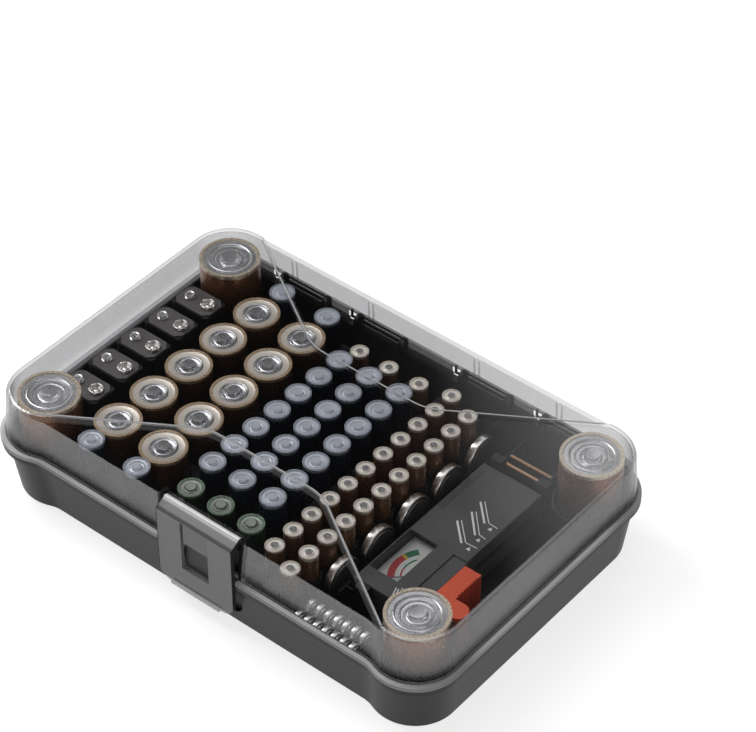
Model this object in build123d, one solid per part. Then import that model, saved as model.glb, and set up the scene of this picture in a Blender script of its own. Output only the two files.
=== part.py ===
from build123d import *
import math
import os

# Battery storage case with a hinged clear lid, front latch and lift-out tester.
# Millimetres. Origin: centre of the tray's underside, +Z up, latch at -Y, hinges at +Y.

os.makedirs("parts", exist_ok=True)

# ---------------------------------------------------------------- driving dimensions
FLOOR = 2.2                 # tray floor, everything stands on this height
WALL = 2.2                  # tray wall
RIM_UNDER, RIM_TOP = 32.0, 35.5
BULGE = 3.2                 # front corners stand this far forward of the front wall
BLEND = 20.0                # radius that blends a front corner into the front wall
FOOTPRINT = (146.0, 90.0, 93.0, 24.5)     # half width, front, back, corner radius at z=0
HALF, FRONT, BACK = FOOTPRINT[:3]


def grown(side, front, back, corner):
    """The footprint, let out by these amounts."""
    return tuple(a + b for a, b in zip(FOOTPRINT, (side, front, back, corner)))


SHOULDER = grown(3.2, 3.6, 3.4, 0.5)      # the outline at the underside of the rim
RIM = grown(5.5, 6.0, 6.0, 0.5)

DECK = 30.0                 # top of the organiser strips
DECK_SKIN = 1.5
STRIP_BACK, STRIP_FRONT, STRIP_FRONT_SHORT = 84.2, -84.4, -77.2

D_XY = (HALF - 20.8, FRONT - 18.0)
D_POCKET = 18.5
C_X, C_Y, C_POCKET, C_NECK = (-91.4, -58.8), [27.87 * k for k in (2, 1, 0, -1, -2)], 13.65, 11.0
END_Y = (77.3, -76.2)       # finger cell at each end of a C column
AA_X, AA_Y, AA_POCKET, AA_NECK = (-30.8, -10.1, 10.7), [71.6 - 17.13 * k for k in range(9)], 7.55, 8.0
AAA_A = (30.2, [75.4 - 14.5 * k for k in range(11)])
AAA_B = (46.9, [68.1 - 14.5 * k for k in range(11)])
AAA_POCKET, AAA_NECK, AAA_WALL = 5.6, 6.4, 0.9
NINE_X, NINE_PITCH = 21.2 - HALF, 22.4
STRIP_LEFT, STRIP_RIGHT = NINE_X + 14.9, AAA_B[0] + 3.3
NINE_Y = [NINE_PITCH * k for k in (2, 1, 0, -1, -2)]
NINE_TEETH = [NINE_PITCH * (k + 0.5) for k in (2, 1, 0, -1, -2, -3)]
SHELF = 10.2                # coin cells stand on this height
COIN_X = AAA_B[0] + 9.4
COIN_Y = [68.1, 39.2, 10.3, -18.8, -48.0]
SLOT_XY = ((-125.4, 71.6), (118.6, 71.6), (-125.4, -71.6), (118.6, -71.6))
SLOT_LONG, SLOT_WIDE = 12.0, 4.6
RACK_X0, RACK_PITCH, RACK_SLOTS = 56.5, 5.88, 7
RACK_BASE, BUTTON_R, BUTTON_Y = 19.0, 4.75, (-74.8, -84.9)                  # button cells stand this high
RACK_BACK, RACK_END = BUTTON_Y[0] + BUTTON_R + 1.35, RACK_X0 + RACK_PITCH * RACK_SLOTS
COMB_PITCH, COMB_TEETH = 3.16, 6

# hinge
HINGE_X = (-92.0, -36.8, 36.8, 92.0)
AXIS_Y, AXIS_Z = BACK + 4.2, 39.6
EAR_OUT, EAR_THICK, EAR_R = 16.8, 2.2, 3.6
KNUCKLE_HALF, KNUCKLE_R = 14.2, 3.1
PIN_R, PIN_FIT, KNUCKLE_FIT = 0.8, 0.02, 0.06
PIN_TAIL_X, PIN_TAIL_UP = -20.6, 4.6

# lid
LID_T = 1.7
LID_BOTTOM, LID_TOP, LID_STEP = RIM_TOP + 0.1, 66.0, 63.5
LID_LOW = grown(4.2, 4.4, 4.4, 0.5)
LID_HIGH = grown(2.6, 1.4, 2.0, 0.0)
LID_LIP = grown(6.0, 6.6, 5.4, 1.0)
LATCH_BAY, HUB_BAY = -FRONT - 1.9, 2.4 - FRONT      # the lid's front is set back to here round the latch
LIP_TOP = 37.9
TRAP_HALF, TRAP_Y, TRAP_RUN, TRAP_R = 38.0, 44.0, (79.0, 50.0), 28.0

# latch
LATCH_GAP = 26.8            # half width of the latch opening
LATCH_HALF = 25.5
LATCH_FRONT, LATCH_T = -FRONT - 7.4, 2.2
LATCH_LOW, LATCH_KINK = 11.0, 59.0
PIVOT_Y, PIVOT_Z, HUB_R, STUB_R, STUB_FIT = 0.1 - FRONT, 61.2, 2.0, 1.25, 0.06
LUG_HALF, LUG_LOW, LUG_HIGH, LUG_FRONT = 8.4, 26.4, 44.0, -FRONT - 4.9
WINDOW_HALF = 9.2

# tester
TESTER_GAP, TESTER_WIDE, TESTER_LONG = 8.2, 38.8, 108.6
TX0, TY0 = COIN_X + TESTER_GAP, -48.2
TX1, TY1 = TX0 + TESTER_WIDE, TY0 + TESTER_LONG
TZ0, TZ1, TZ_SPLIT = 5.0, 28.5, 16.0
ARM_X, ARM_Y = TX1 + 20.1, TY0 + 8.5
T_WALL = 1.8
RAIL_IN, RAIL_OUT, RAIL_NECK = TX1 - 5.9, TX1 - 1.9, TX1 - 2.0       # the slider's rail in the tester
RAIL_Z, NECK_Z = (11.0, 21.6), (13.0, 19.6)
SLIDE_FIT, SLIDE_Y = 0.25, ARM_Y + 1.0
DIAL_PIVOT = (TX1 - 13.3, ARM_Y + 19.4)
DIAL_Z = (21.4, 22.0)
NEEDLE_REST, NEEDLE_LONG = 222.0, (DIAL_PIVOT[0] - TX0) * 64 / 85
SCREW_XY = ((TX0 + 15.5, TY1 - 7.4), (TX0 + 15.5, TY0 + 4.7))
BOARD_Z = (9.0, 10.6)
RESISTOR_R = 2.6
POST_X = (TX0 + 7.0, TX1 - 1.8)                                      # tall posts behind the tester
COMB_X, COMB_Y0 = (TX0 + 3.8, TX0 + 32.5), TY1 + 6.5
STOP_X = ((TX0 + 5.5, TX0 + 12.5), (TX1 - 7.9, TX1 - 0.7))           # low posts in front of it


# ---------------------------------------------------------------- helpers
def box(x0, x1, y0, y1, z0, z1):
    return Pos((x0 + x1) / 2, (y0 + y1) / 2, (z0 + z1) / 2) * Box(x1 - x0, y1 - y0, z1 - z0)


def rect(x0, x1, y0, y1):
    return Pos((x0 + x1) / 2, (y0 + y1) / 2) * Rectangle(x1 - x0, y1 - y0)


def disc(x, y, r):
    return Pos(x, y) * Circle(r)


def poly(points):
    return make_face(Polyline(*points, close=True))


def prism(face, z0, z1):
    return extrude(Pos(0, 0, z0) * face, z1 - z0, dir=(0, 0, 1))


def rod_x(x0, x1, y, z, r):
    return Pos((x0 + x1) / 2, y, z) * Rot(0, 90, 0) * Cylinder(r, x1 - x0)


def rod_z(x, y, z0, z1, r):
    return Pos(x, y, (z0 + z1) / 2) * Cylinder(r, z1 - z0)


def side_profile(face_yz, x0, x1):
    """Extrude a face drawn in (y, z) along +X from x0 to x1."""
    plane = Plane(origin=(x0, 0, 0), x_dir=(0, 1, 0), z_dir=(1, 0, 0))
    return extrude(plane * face_yz, x1 - x0)


def front_profile(face_xz, y0, y1):
    """Extrude a face drawn in (x, z) along +Y from y0 to y1."""
    plane = Plane(origin=(0, y0, 0), x_dir=(1, 0, 0), z_dir=(0, -1, 0))
    return extrude(plane * face_xz, -(y1 - y0))


def outline(size, inset=0.0):
    """Plan outline: straight back, two plain back corners, two bulging front corners."""
    hx, front, back, r = size
    hx, front, back, r, rf = hx - inset, front - inset, back - inset, r - inset, BLEND + inset
    cx, cb, cf = hx - r, back - r, r - front - BULGE
    run = math.sqrt((r + rf) ** 2 - (r + rf - BULGE) ** 2)
    bx, by = cx - run, -front - rf
    tx, ty = cx + r * (bx - cx) / (r + rf), cf + r * (by - cf) / (r + rf)
    half = (math.atan2(cf - by, cx - bx) + math.pi / 2) / 2
    s = math.sqrt(0.5)

    def ring(sx):
        corner = ThreePointArc((sx * hx, cf), (sx * (cx + r * s), cf - r * s), (sx * tx, ty))
        blend = ThreePointArc((sx * tx, ty), (sx * (bx + rf * math.cos(half)), by + rf * math.sin(half)),
                              (sx * bx, -front))
        return corner, blend

    edges = [ThreePointArc((hx, cb), (cx + r * s, cb + r * s), (cx, back)),
             Line((cx, back), (-cx, back)),
             ThreePointArc((-cx, back), (-cx - r * s, cb + r * s), (-hx, cb)),
             Line((-hx, cb), (-hx, cf))]
    edges += list(ring(-1)) + [Line((-bx, -front), (bx, -front))] + list(ring(1))[::-1]
    edges += [Line((hx, cf), (hx, cb))]
    return make_face(Wire(edges))


def between(low, high, k):
    return tuple(a + (b - a) * k for a, b in zip(low, high))


def shell(low, z0, high, z1, inset=0.0):
    return loft([Pos(0, 0, z0) * outline(low, inset), Pos(0, 0, z1) * outline(high, inset)], ruled=True)


def wall_path(points, thick):
    """Thin upright wall along a run of plan points."""
    face = Sketch()
    parts = []
    for (x0, y0), (x1, y1) in zip(points, points[1:]):
        run = math.hypot(x1 - x0, y1 - y0)
        turn = math.degrees(math.atan2(y1 - y0, x1 - x0))
        parts.append(Pos((x0 + x1) / 2, (y0 + y1) / 2) * Rot(0, 0, turn) * Rectangle(run, thick))
        parts.append(disc(x1, y1, thick / 2))
    return face + parts


def copies(shape, places):
    return Compound(children=[Pos(*p) * shape for p in places])


def send(shape, name):
    export_step(shape, f"parts/{name}.step")


# ---------------------------------------------------------------- tray
def channels(grow):
    """The scalloped rows the cells stand in, as one plan face."""
    cut = []
    for x in C_X:
        cut += [disc(x, y, C_POCKET + grow) for y in C_Y]
        cut += [disc(x, y, AA_POCKET + grow) for y in END_Y]
        cut.append(rect(x - C_NECK / 2 - grow, x + C_NECK / 2 + grow, -95, 95))
    for x in AA_X:
        cut += [disc(x, y, AA_POCKET + grow) for y in AA_Y]
        cut.append(rect(x - AA_NECK / 2 - grow, x + AA_NECK / 2 + grow, -95, 95))
    for x, rows in (AAA_A, AAA_B):
        cut += [disc(x, y, AAA_POCKET + grow) for y in rows]
        cut.append(rect(x - AAA_NECK / 2 - grow, x + AAA_NECK / 2 + grow, -95, 95))
    return Sketch() + cut


def strips():
    """Organiser strips between the rows, hollow from below like a moulding."""
    x, y = D_XY
    teeth = [poly([(STRIP_LEFT + 0.5, t + 3.2), (STRIP_LEFT - 4.7, t), (STRIP_LEFT + 0.5, t - 3.2)])
             for t in NINE_TEETH]
    ripple = [disc(AAA_B[0], row, AAA_POCKET + AAA_WALL) for row in AAA_B[1]]
    plan = rect(STRIP_LEFT, STRIP_RIGHT, STRIP_FRONT, STRIP_BACK) + teeth + ripple
    short = rect(AA_X[0], AAA_A[0] - 2, STRIP_FRONT - 1, STRIP_FRONT_SHORT)
    plan = plan - [short, disc(-x, y, D_POCKET), disc(-x, -y, D_POCKET), channels(0)]
    s = DECK_SKIN
    core = rect(STRIP_LEFT + s, AAA_B[0], STRIP_FRONT + s, STRIP_BACK - s)
    short_core = rect(AA_X[0] - s, AAA_A[0] - 2 + s, STRIP_FRONT - 1, STRIP_FRONT_SHORT + s)
    middle = rect(-14, 14, -12, 12)
    core = core - [short_core, disc(-x, y, D_POCKET + s), disc(-x, -y, D_POCKET + s), channels(s), middle]
    return prism(plan, 0, DECK), prism(core, -1, DECK - s)


def d_pocket_walls():
    """Stiffening ribs round the four corner pockets and a ring wall at the two right ones."""
    x, y = D_XY
    plan = []
    for sx in (-1, 1):
        for sy in (-1, 1):
            for turn in (-4, 19, 42, 65, 88, 106):
                a = math.radians(turn)
                a = math.atan2(sy * math.sin(a), sx * math.cos(a))
                out = Pos(sx * x, sy * y) * Rot(0, 0, math.degrees(a))
                reach = 22.0 if turn in (-4, 88, 106) else 23.6
                plan.append(out * Pos((D_POCKET + reach) / 2, 0) * Rectangle(reach - D_POCKET, 1.0))
        ring = disc(x, sx * y, D_POCKET + 1.2) - disc(x, sx * y, D_POCKET)
        far = [(x, sx * y)] + [(x + 60 * math.cos(math.radians(t)), sx * (y + 60 * math.sin(math.radians(t))))
                               for t in (-24, 10, 50, 90, 124)]
        plan.append(ring - poly(far))
    return prism(Sketch() + plan, 0, DECK - 1)


def nine_volt_wall():
    left, end = NINE_X - 15.1, NINE_TEETH[0] + 7.2
    pts = [(-HALF - 3.0, end + 0.4), (left - 4.3, end)]
    for t in NINE_TEETH:
        pts += [(left - 0.3, t + 3.8), (left + 4.5, t), (left - 0.3, t - 3.8)]
    pts = pts[:2] + pts[3:-1] + [(left - 4.3, -end), (-HALF - 3.0, -end - 0.4)]
    return prism(wall_path(pts, 1.0), 0, DECK)


def thin_walls():
    """Tie ribs, coin dividers, tester fences, flat-cell comb and button-cell rack."""
    parts = []
    for x in (-103.0, -74.0, -43.6, -19.6, 0.6, 20.3, 37.6):
        front = STRIP_FRONT_SHORT if -30 < x < 29 else STRIP_FRONT
        parts.append(prism(rect(x - 0.5, x + 0.5, STRIP_BACK - 1, 92.5), 0, 26))
        parts.append(prism(rect(x - 0.5, x + 0.5, -89.5, front + 1), 0, 26))
    parts.append(prism(rect(STRIP_RIGHT, STRIP_RIGHT + 1.0, 78.0, 93.5), 0, 28))
    parts.append(prism(rect(STRIP_RIGHT - 0.4, STRIP_RIGHT + 0.6, -91.0, -83.5), 0, 28))
    parts.append(prism(rect(STRIP_RIGHT + 0.2, TX0 - 2.5, -63.4, 82.6) - channels(0), 0, SHELF))
    for y in (24.7, -4.1, -33.3):
        parts.append(prism(rect(COIN_X - 3.3, COIN_X - 0.3, y - 0.5, y + 0.5), 8, 22))
    for y in COIN_Y[1:4]:
        parts.append(prism(rect(TX0 - 4.1, TX0 - 2.9, y - 6.4, y + 6.4), 8, 20))
    for y in (TY1 + 3.4, TY0 - 3.4):
        parts.append(prism(rect(TX0 - 3.7, TX0 - 2.5, y - 4.9, y + 4.9), 8, 22))
        parts.append(prism(rect(TX0 - 3.5, TX0 + 1.9, y + 0.2, y + 1.2), 0, 22))
    parts.append(prism(rect(TX0 - 6.5, TX0 + 26.5, TY0 - 15.4, TY0 - 14.4), 0, 22))
    # tester: four rest pads, two tall rear posts, two front posts, cradle round the arm
    for x in (TX0 + 5.5, TX1 - 5.3):
        for y in (TY1 - 10.4, TY0 + 10.2):
            parts.append(box(x - 3, x + 3, y - 3, y + 3, 0, TZ0 - 0.05))
    for x in POST_X:
        parts.append(box(x - 3.5, x + 3.5, TY1 + 0.7, TY1 + 6.0, 0, 33.5))
    for x0, x1 in STOP_X:
        parts.append(box(x0, x1, TY0 - 6.2, TY0 - 0.6, 0, 30))
    cradle = [(ARM_X + dx, TY0 + dy) for dx, dy in
              ((2.0, 6.7), (1.9, 3.2), (0.2, -0.7), (-3.2, -2.8), (-7.4, -3.2), (-10.9, -3.0))]
    parts.append(prism(wall_path(cradle, 1.0), 0, 24))
    # comb for flat cells
    for x, s in zip(COMB_X, (1, -1)):
        parts.append(prism(rect(x - 0.5, x + 0.5, COMB_Y0 - 1.7, 93.5), 0, 24))
        for k in range(COMB_TEETH):
            y = COMB_Y0 + COMB_PITCH * k
            parts.append(prism(rect(min(x, x + 2.6 * s), max(x, x + 2.6 * s), y - 0.4, y + 0.4), 0, 23))
    # raised rack for button cells, its ribs cut through at each row
    left, right, front = RACK_X0 - 0.5, RACK_END + 0.5, -FRONT - 3.0
    parts.append(prism(rect(left, right, front, RACK_BACK + 1.0), 0, RACK_BASE))
    parts.append(prism(rect(left, right, RACK_BACK, RACK_BACK + 1.0), 0, RACK_BASE + 9.0))
    (back_row, front_row), cut = BUTTON_Y, 1.7
    ribs = ((back_row + cut, RACK_BACK + 0.3), (front_row + cut, back_row - cut), (front, front_row - cut))
    for k in range(RACK_SLOTS + 1):
        x = RACK_X0 + RACK_PITCH * k
        for y0, y1 in ribs:
            parts.append(prism(rect(x - 0.5, x + 0.5, y0, y1), RACK_BASE - 1, RACK_BASE + 7.5))
    return parts


def hinge_ears():
    ears = []
    face = disc(AXIS_Y, AXIS_Z, EAR_R) + rect(AXIS_Y - EAR_R, AXIS_Y + EAR_R, 34.0, AXIS_Z)
    face = face + poly([(AXIS_Y, 31.0), (AXIS_Y + EAR_R, 34.0), (AXIS_Y - EAR_R, 34.0)])
    face = face - disc(AXIS_Y, AXIS_Z, PIN_R + PIN_FIT)
    for hx in HINGE_X:
        for x0 in (hx - EAR_OUT, hx + EAR_OUT - EAR_THICK):
            ears.append(side_profile(face, x0, x0 + EAR_THICK))
    return ears


def base_tray():
    outer = shell(FOOTPRINT, 0, SHOULDER, RIM_UNDER)
    outer = fillet(outer.faces().sort_by(Axis.Z)[0].edges(), 2.0)
    outer += prism(outline(RIM), RIM_UNDER, RIM_TOP)
    low = between(FOOTPRINT, SHOULDER, FLOOR / RIM_UNDER)
    high = between(FOOTPRINT, SHOULDER, (RIM_TOP + 1) / RIM_UNDER)
    cavity = shell(low, FLOOR, high, RIM_TOP + 1, WALL)
    strip_solid, strip_core = strips()
    tray = outer - cavity
    # everything inside is kept within the wall; the last piece backs the finger recess
    inside = [strip_solid, d_pocket_walls(), nine_volt_wall()] + thin_walls()
    inside.append(box(-29.0, 29.0, -FRONT - 10.0, 3.8 - FRONT, 0, 29.2))
    brim = between(FOOTPRINT, SHOULDER, RIM_TOP / RIM_UNDER)
    tray += (Part() + inside) & shell(FOOTPRINT, 0, brim, RIM_TOP, WALL - 0.5)
    recess = front_profile(fillet(rect(-LATCH_GAP, LATCH_GAP, 8.0, 27.0).vertices().group_by(Axis.Y)[0], 8.8),
                           -FRONT - 20, 1.7 - FRONT)
    tray -= recess
    tray -= box(-LATCH_GAP, LATCH_GAP, -FRONT - 20, -FRONT - 4.6, 30, 40)
    tray += box(-LUG_HALF, LUG_HALF, LUG_FRONT, -FRONT - 2.6, LUG_LOW, LUG_HIGH)
    tray += hinge_ears()
    for x, y in SLOT_XY:
        hub_x = x + (3.2 if x < 0 else 3.9)
        tray -= rod_z(hub_x, y, FLOOR - 0.6, FLOOR + 0.5, 8.8)
        tray -= prism(Pos(x, y) * SlotOverall(SLOT_LONG, SLOT_WIDE), -1, FLOOR + 1)
    tray -= strip_core
    for cut in shelf_cores():
        tray -= cut
    return tray


def shelf_cores():
    """Hollows under the coin shelf, the button-cell rack and the tester posts."""
    cuts = [prism(rect(STRIP_RIGHT + 2.2, TX0 - 4.1, -61.6, 80.8) - channels(1.3), -1, SHELF - 1.4)]
    rack = rect(RACK_X0 + 0.8, RACK_END - 0.8, 3.2 - FRONT, RACK_BACK - 0.3)
    cuts.append(prism(rack, -1, RACK_BASE - 1.4))
    for x in POST_X:
        cuts.append(box(x - 2.2, x + 2.2, TY1 + 2.4, TY1 + 4.6, -1, 31.8))
    for x0, x1 in STOP_X:
        cuts.append(box(x0 + 1.4, x1 - 1.4, TY0 - 4.8, TY0 - 2.0, -1, 28.4))
    return cuts


def hinge_pins():
    pins = []
    for hx in HINGE_X:
        pin = rod_x(hx + PIN_TAIL_X, hx + EAR_OUT + 0.4, AXIS_Y, AXIS_Z, PIN_R)
        tail = Pos(hx + PIN_TAIL_X, AXIS_Y, AXIS_Z)
        pin += tail * Sphere(PIN_R)
        pin += tail * Pos(0, 0, PIN_TAIL_UP / 2) * Cylinder(PIN_R, PIN_TAIL_UP)
        pins.append(pin)
    return Compound(children=pins)


# ---------------------------------------------------------------- lid
def trapezoid(grow, side):
    """Plan of the lowered panel by the hinge (side=1) or latch (side=-1)."""
    length = math.hypot(*TRAP_RUN)
    dx, dy = TRAP_RUN[0] / length, TRAP_RUN[1] / length
    nx, ny = dy, -dx
    t0 = -grow * (1 + ny) / dy
    x0, y0 = TRAP_HALF + nx * grow + t0 * dx, TRAP_Y - grow
    t1 = (120 - TRAP_Y - ny * grow) / dy
    x1 = TRAP_HALF + nx * grow + t1 * dx
    face = poly([(-x0, side * y0), (x0, side * y0), (x1, side * 120), (-x1, side * 120)])
    inner = face.vertices().sort_by(lambda v: abs(v.Y))[:2]
    return fillet(inner, TRAP_R + grow)


def lid_step(z, rise, grow):
    return [loft([Pos(0, 0, z) * trapezoid(grow, side), Pos(0, 0, z + rise) * trapezoid(grow + rise, side)],
                 ruled=True) for side in (1, -1)]


def lid():
    outer = shell(LID_LOW, LID_BOTTOM, LID_HIGH, LID_TOP)
    outer = fillet(outer.faces().sort_by(Axis.Z)[-1].edges(), 2.4)
    for cut in lid_step(LID_STEP, 3.0, 0.0):
        outer -= cut
    outer += prism(outline(LID_LIP), LID_BOTTOM, LIP_TOP)
    g, t = LATCH_GAP, LID_T
    outer -= box(-g, g, -FRONT - 20, LATCH_BAY, 30, 70)
    outer -= box(-g, g, -FRONT - 20, HUB_BAY, 56.2, 70)

    inner_low = between(LID_LOW, LID_HIGH, -1 / (LID_TOP - LID_BOTTOM))
    inner_high = between(LID_LOW, LID_HIGH, 1 - t / (LID_TOP - LID_BOTTOM))
    inner = shell(inner_low, LID_BOTTOM - 1, inner_high, LID_TOP - t, t)
    inner = fillet(inner.faces().sort_by(Axis.Z)[-1].edges(), 1.2)
    for cut in lid_step(LID_STEP - t, 3.0, 0.7):
        inner -= cut
    inner -= box(-g - t, g + t, -FRONT - 20, LATCH_BAY + t, 30, 70)
    inner -= box(-g - t, g + t, -FRONT - 20, HUB_BAY + t, 56.2 - t, 70)
    shape = outer - inner

    shape -= box(-HALF - 14, HALF + 14, BACK, BACK + 17, 30, LID_BOTTOM + 1.1)
    for hx in HINGE_X:
        shape -= box(hx - 22.6, hx + 18.0, BACK - 3, BACK + 17, 30, AXIS_Z + 5.7)
        shape += box(hx - KNUCKLE_HALF, hx + KNUCKLE_HALF, AXIS_Y - 2.2, AXIS_Y - 0.3, AXIS_Z, AXIS_Z + 6.2)
        shape += rod_x(hx - KNUCKLE_HALF, hx + KNUCKLE_HALF, AXIS_Y, AXIS_Z, KNUCKLE_R)
        shape -= rod_x(hx - 20, hx + 20, AXIS_Y, AXIS_Z, PIN_R + KNUCKLE_FIT)
        for rib in (hx - 4.9, hx - 1.7):
            shape += box(rib - 0.4, rib + 0.4, BACK - 0.6, BACK + 1.8, 46.0, 62.0)
    for s in (-1, 1):
        shape -= rod_x(min(s * (g - 1), s * (g + t + 1)), max(s * (g - 1), s * (g + t + 1)),
                       PIVOT_Y, PIVOT_Z, STUB_R + STUB_FIT)
    return shape


# ---------------------------------------------------------------- latch
def latch():
    back = LATCH_FRONT + LATCH_T
    plate = rect(-LATCH_HALF, LATCH_HALF, LATCH_LOW, LATCH_KINK)
    plate = fillet(plate.vertices().group_by(Axis.Y)[0], 8.0)
    shape = front_profile(plate, LATCH_FRONT, back)
    kink = poly([(LATCH_FRONT, LATCH_KINK), (back, LATCH_KINK - 1.4), (PIVOT_Y - 0.4, PIVOT_Z - 1.9),
                 (PIVOT_Y, PIVOT_Z + 1.9), (PIVOT_Y - 1.0, PIVOT_Z + 1.7)])
    shape += side_profile(kink + disc(PIVOT_Y, PIVOT_Z, HUB_R), -LATCH_HALF, LATCH_HALF)
    shape += box(-16.5, 16.5, LATCH_FRONT - 1.5, LATCH_FRONT + 0.5, LATCH_LOW, LATCH_LOW + 1.5)
    shape -= box(-WINDOW_HALF, WINDOW_HALF, LATCH_FRONT - 3, back + 0.6, LUG_LOW - 1.0, LATCH_KINK - 0.6)
    stub = LATCH_GAP + LID_T - 0.2
    shape += rod_x(-stub, stub, PIVOT_Y, PIVOT_Z, STUB_R)
    return shape


# ---------------------------------------------------------------- tester
def tester_plan(inset=0.0):
    body = rect(TX0 + inset, TX1 - inset, TY0 + inset, TY1 - inset)
    arm = rect(TX1 - 4, ARM_X - inset, TY0 + inset, ARM_Y - inset)
    arm = fillet(arm.vertices().sort_by(lambda v: v.Y - v.X)[0], max(7.0 - inset, 0.5))
    return body + arm


def slider_channel():
    y0, y1 = ARM_Y + 0.8, TY1 - 2.8
    return box(RAIL_IN, RAIL_OUT, y0, y1, *RAIL_Z) + box(RAIL_NECK, TX1 + 1, y0, y1, *NECK_Z)


def tester_cavity(z0, z1):
    body = rect(TX0 + T_WALL, RAIL_IN - 1.4, TY0 + T_WALL, TY1 - T_WALL)
    arm = rect(TX1 - 13.3, ARM_X - 4.0, TY0 + T_WALL, ARM_Y - T_WALL)
    return prism(body + arm, z0, z1)


def tester_back():
    shape = prism(tester_plan(), TZ0, TZ_SPLIT)
    shape = fillet(shape.faces().sort_by(Axis.Z)[0].edges(), 0.8)
    shape -= tester_cavity(TZ0 + T_WALL, TZ_SPLIT + 1)
    for x, y in SCREW_XY:
        shape += rod_z(x, y, TZ0 + 1, TZ_SPLIT, 2.8)
        shape -= rod_z(x, y, TZ0 - 1, TZ_SPLIT + 1, 1.15)
        shape -= rod_z(x, y, TZ0 - 1, TZ0 + 1.6, 2.3)
    x0, x1, y0, y1 = board_edges()
    for x in (x0 + 1.5, x1 - 1.5):
        for y in (y0 + 4.0, y1 - 4.0):
            shape += rod_z(x, y, TZ0 + 1, BOARD_Z[0], 1.6)
    px, py = DIAL_PIVOT
    shape += box(px - 3.5, px + 4.5, py - 6.7, py + 6.7, TZ0 + 1, BOARD_Z[0])
    return shape - slider_channel()


def tester_front():
    shape = prism(tester_plan(), TZ_SPLIT, TZ1)
    shape = fillet(shape.faces().sort_by(Axis.Z)[-1].edges(), 0.7)
    shape -= tester_cavity(TZ_SPLIT - 1, TZ1 - T_WALL)
    for x, y in SCREW_XY:
        shape += rod_z(x, y, TZ_SPLIT, TZ1 - 1, 2.8)
        shape -= rod_z(x, y, TZ_SPLIT - 1, 24.0, 0.97)
    x0, x1, y0, y1 = pane_edges(0.2)
    shape -= box(x0, x1, y0, y1, 20, 40)
    shape -= box(TX1 - 9.0, TX1 + 6.7, y0 + 0.1, y1 - 0.2, TZ1 - 0.9, 40)
    return shape - slider_channel()


def pane_edges(grow):
    """Plan edges of the window pane, or of the opening it sits in."""
    px, py = DIAL_PIVOT
    return TX0 + 1.3 - grow, px - 6.1 + grow, py - 16.4 - grow, py + 17.0 + grow


def tester_window():
    x0, x1, y0, y1 = pane_edges(0.0)
    flange = box(x0 + 0.7, x1 + 1.7, y0 - 1.7, y1 + 1.7, TZ1 - T_WALL - 1.0, TZ1 - T_WALL)
    return flange + box(x0, x1, y0, y1, TZ1 - T_WALL, TZ1 - 0.6)


def dial_plate():
    x0, x1, y0, y1 = pane_edges(0.0)
    plate = box(x0 + 1.1, RAIL_IN - 2.0, y0 - 2.8, y1 + 2.3, *DIAL_Z)
    return plate - rod_z(*DIAL_PIVOT, 20, 24, 1.6)


def meter_movement():
    px, py = DIAL_PIVOT
    shape = box(px - 4.5, RAIL_IN - 2.0, py - 8.0, py + 8.0, BOARD_Z[0], DIAL_Z[0])
    return shape - rod_z(px, py, 11.0, 24, 0.56)


def dial_needle():
    px, py = DIAL_PIVOT
    arm = poly([(0, 0.45), (NEEDLE_LONG, 0.16), (NEEDLE_LONG, -0.16), (0, -0.45)])
    tail = poly([(0, 0.5), (0, -0.5), (-3.6, -0.8), (-3.6, 0.8)])
    shape = prism(arm + tail, 22.9, 23.3) + rod_z(0, 0, 22.4, 24.0, 1.4) + rod_z(0, 0, 11.2, 22.6, 0.5)
    return Pos(px, py, 0) * Rot(0, 0, NEEDLE_REST) * shape


def tester_slider():
    front, back, x0 = SLIDE_Y, SLIDE_Y + 32.7, TX1 + 0.6
    plan = rect(x0, x0 + 10.5, front, back)
    foot = fillet(rect(x0 + 8.1, ARM_X + 2.4, front, front + 11.3).vertices().group_by(Axis.X)[-1], 5.0)
    shape = prism(plan + foot, TZ0 + 0.6, TZ1 - 0.1)
    for k in range(8):
        y = back - 3.5 - 2.1 * k
        shape -= box(x0 + 9.8, x0 + 12.1, y - 0.5, y + 0.5, TZ0, TZ1)
    f = SLIDE_FIT
    shape += box(RAIL_IN + f, RAIL_OUT - f, front + f, back - 0.4, RAIL_Z[0] + f, RAIL_Z[1] - f)
    shape += box(RAIL_NECK - 0.3, x0 + 0.3, front + f, back - 0.4, NECK_Z[0] + f, NECK_Z[1] - f)
    return shape


def board_edges():
    return TX0 + 4.0, RAIL_IN - 3.9, TY0 + 54.2, TY1 - 14.4


def circuit_board():
    return box(*board_edges(), *BOARD_Z)


def load_resistors():
    x0, x1, y0, y1 = board_edges()
    rest = BOARD_Z[1] + RESISTOR_R
    return copies(rod_x(-8, 8, 0, 0, RESISTOR_R), [((x0 + x1) / 2, y0 + gap, rest) for gap in (28.0, 18.0)])


def contact_strip(y0, y1):
    """Spring strip on the arm or on the slider, facing the cell under test."""
    return box(TX1 + 1.7, ARM_X - 1.9, y0, y1, TZ0 + 3.0, TZ1 - 2.5)


def end_contacts():
    strips = [box(x, x + 6, TY1, TY1 + 0.4, 10.0, 22.0) for x in (TX0 + 12.5, TX0 + 23.5)]
    return Compound(children=strips)


def tester_screws():
    one = rod_z(0, 0, TZ0 + 0.2, TZ0 + 1.6, 2.1) + rod_z(0, 0, TZ0 + 1.5, 21.0, 0.95)
    one -= box(-1.6, 1.6, -0.25, 0.25, TZ0, TZ0 + 0.8)
    one -= box(-0.25, 0.25, -1.6, 1.6, TZ0, TZ0 + 0.8)
    return copies(one, [(x, y, 0) for x, y in SCREW_XY])


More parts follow.
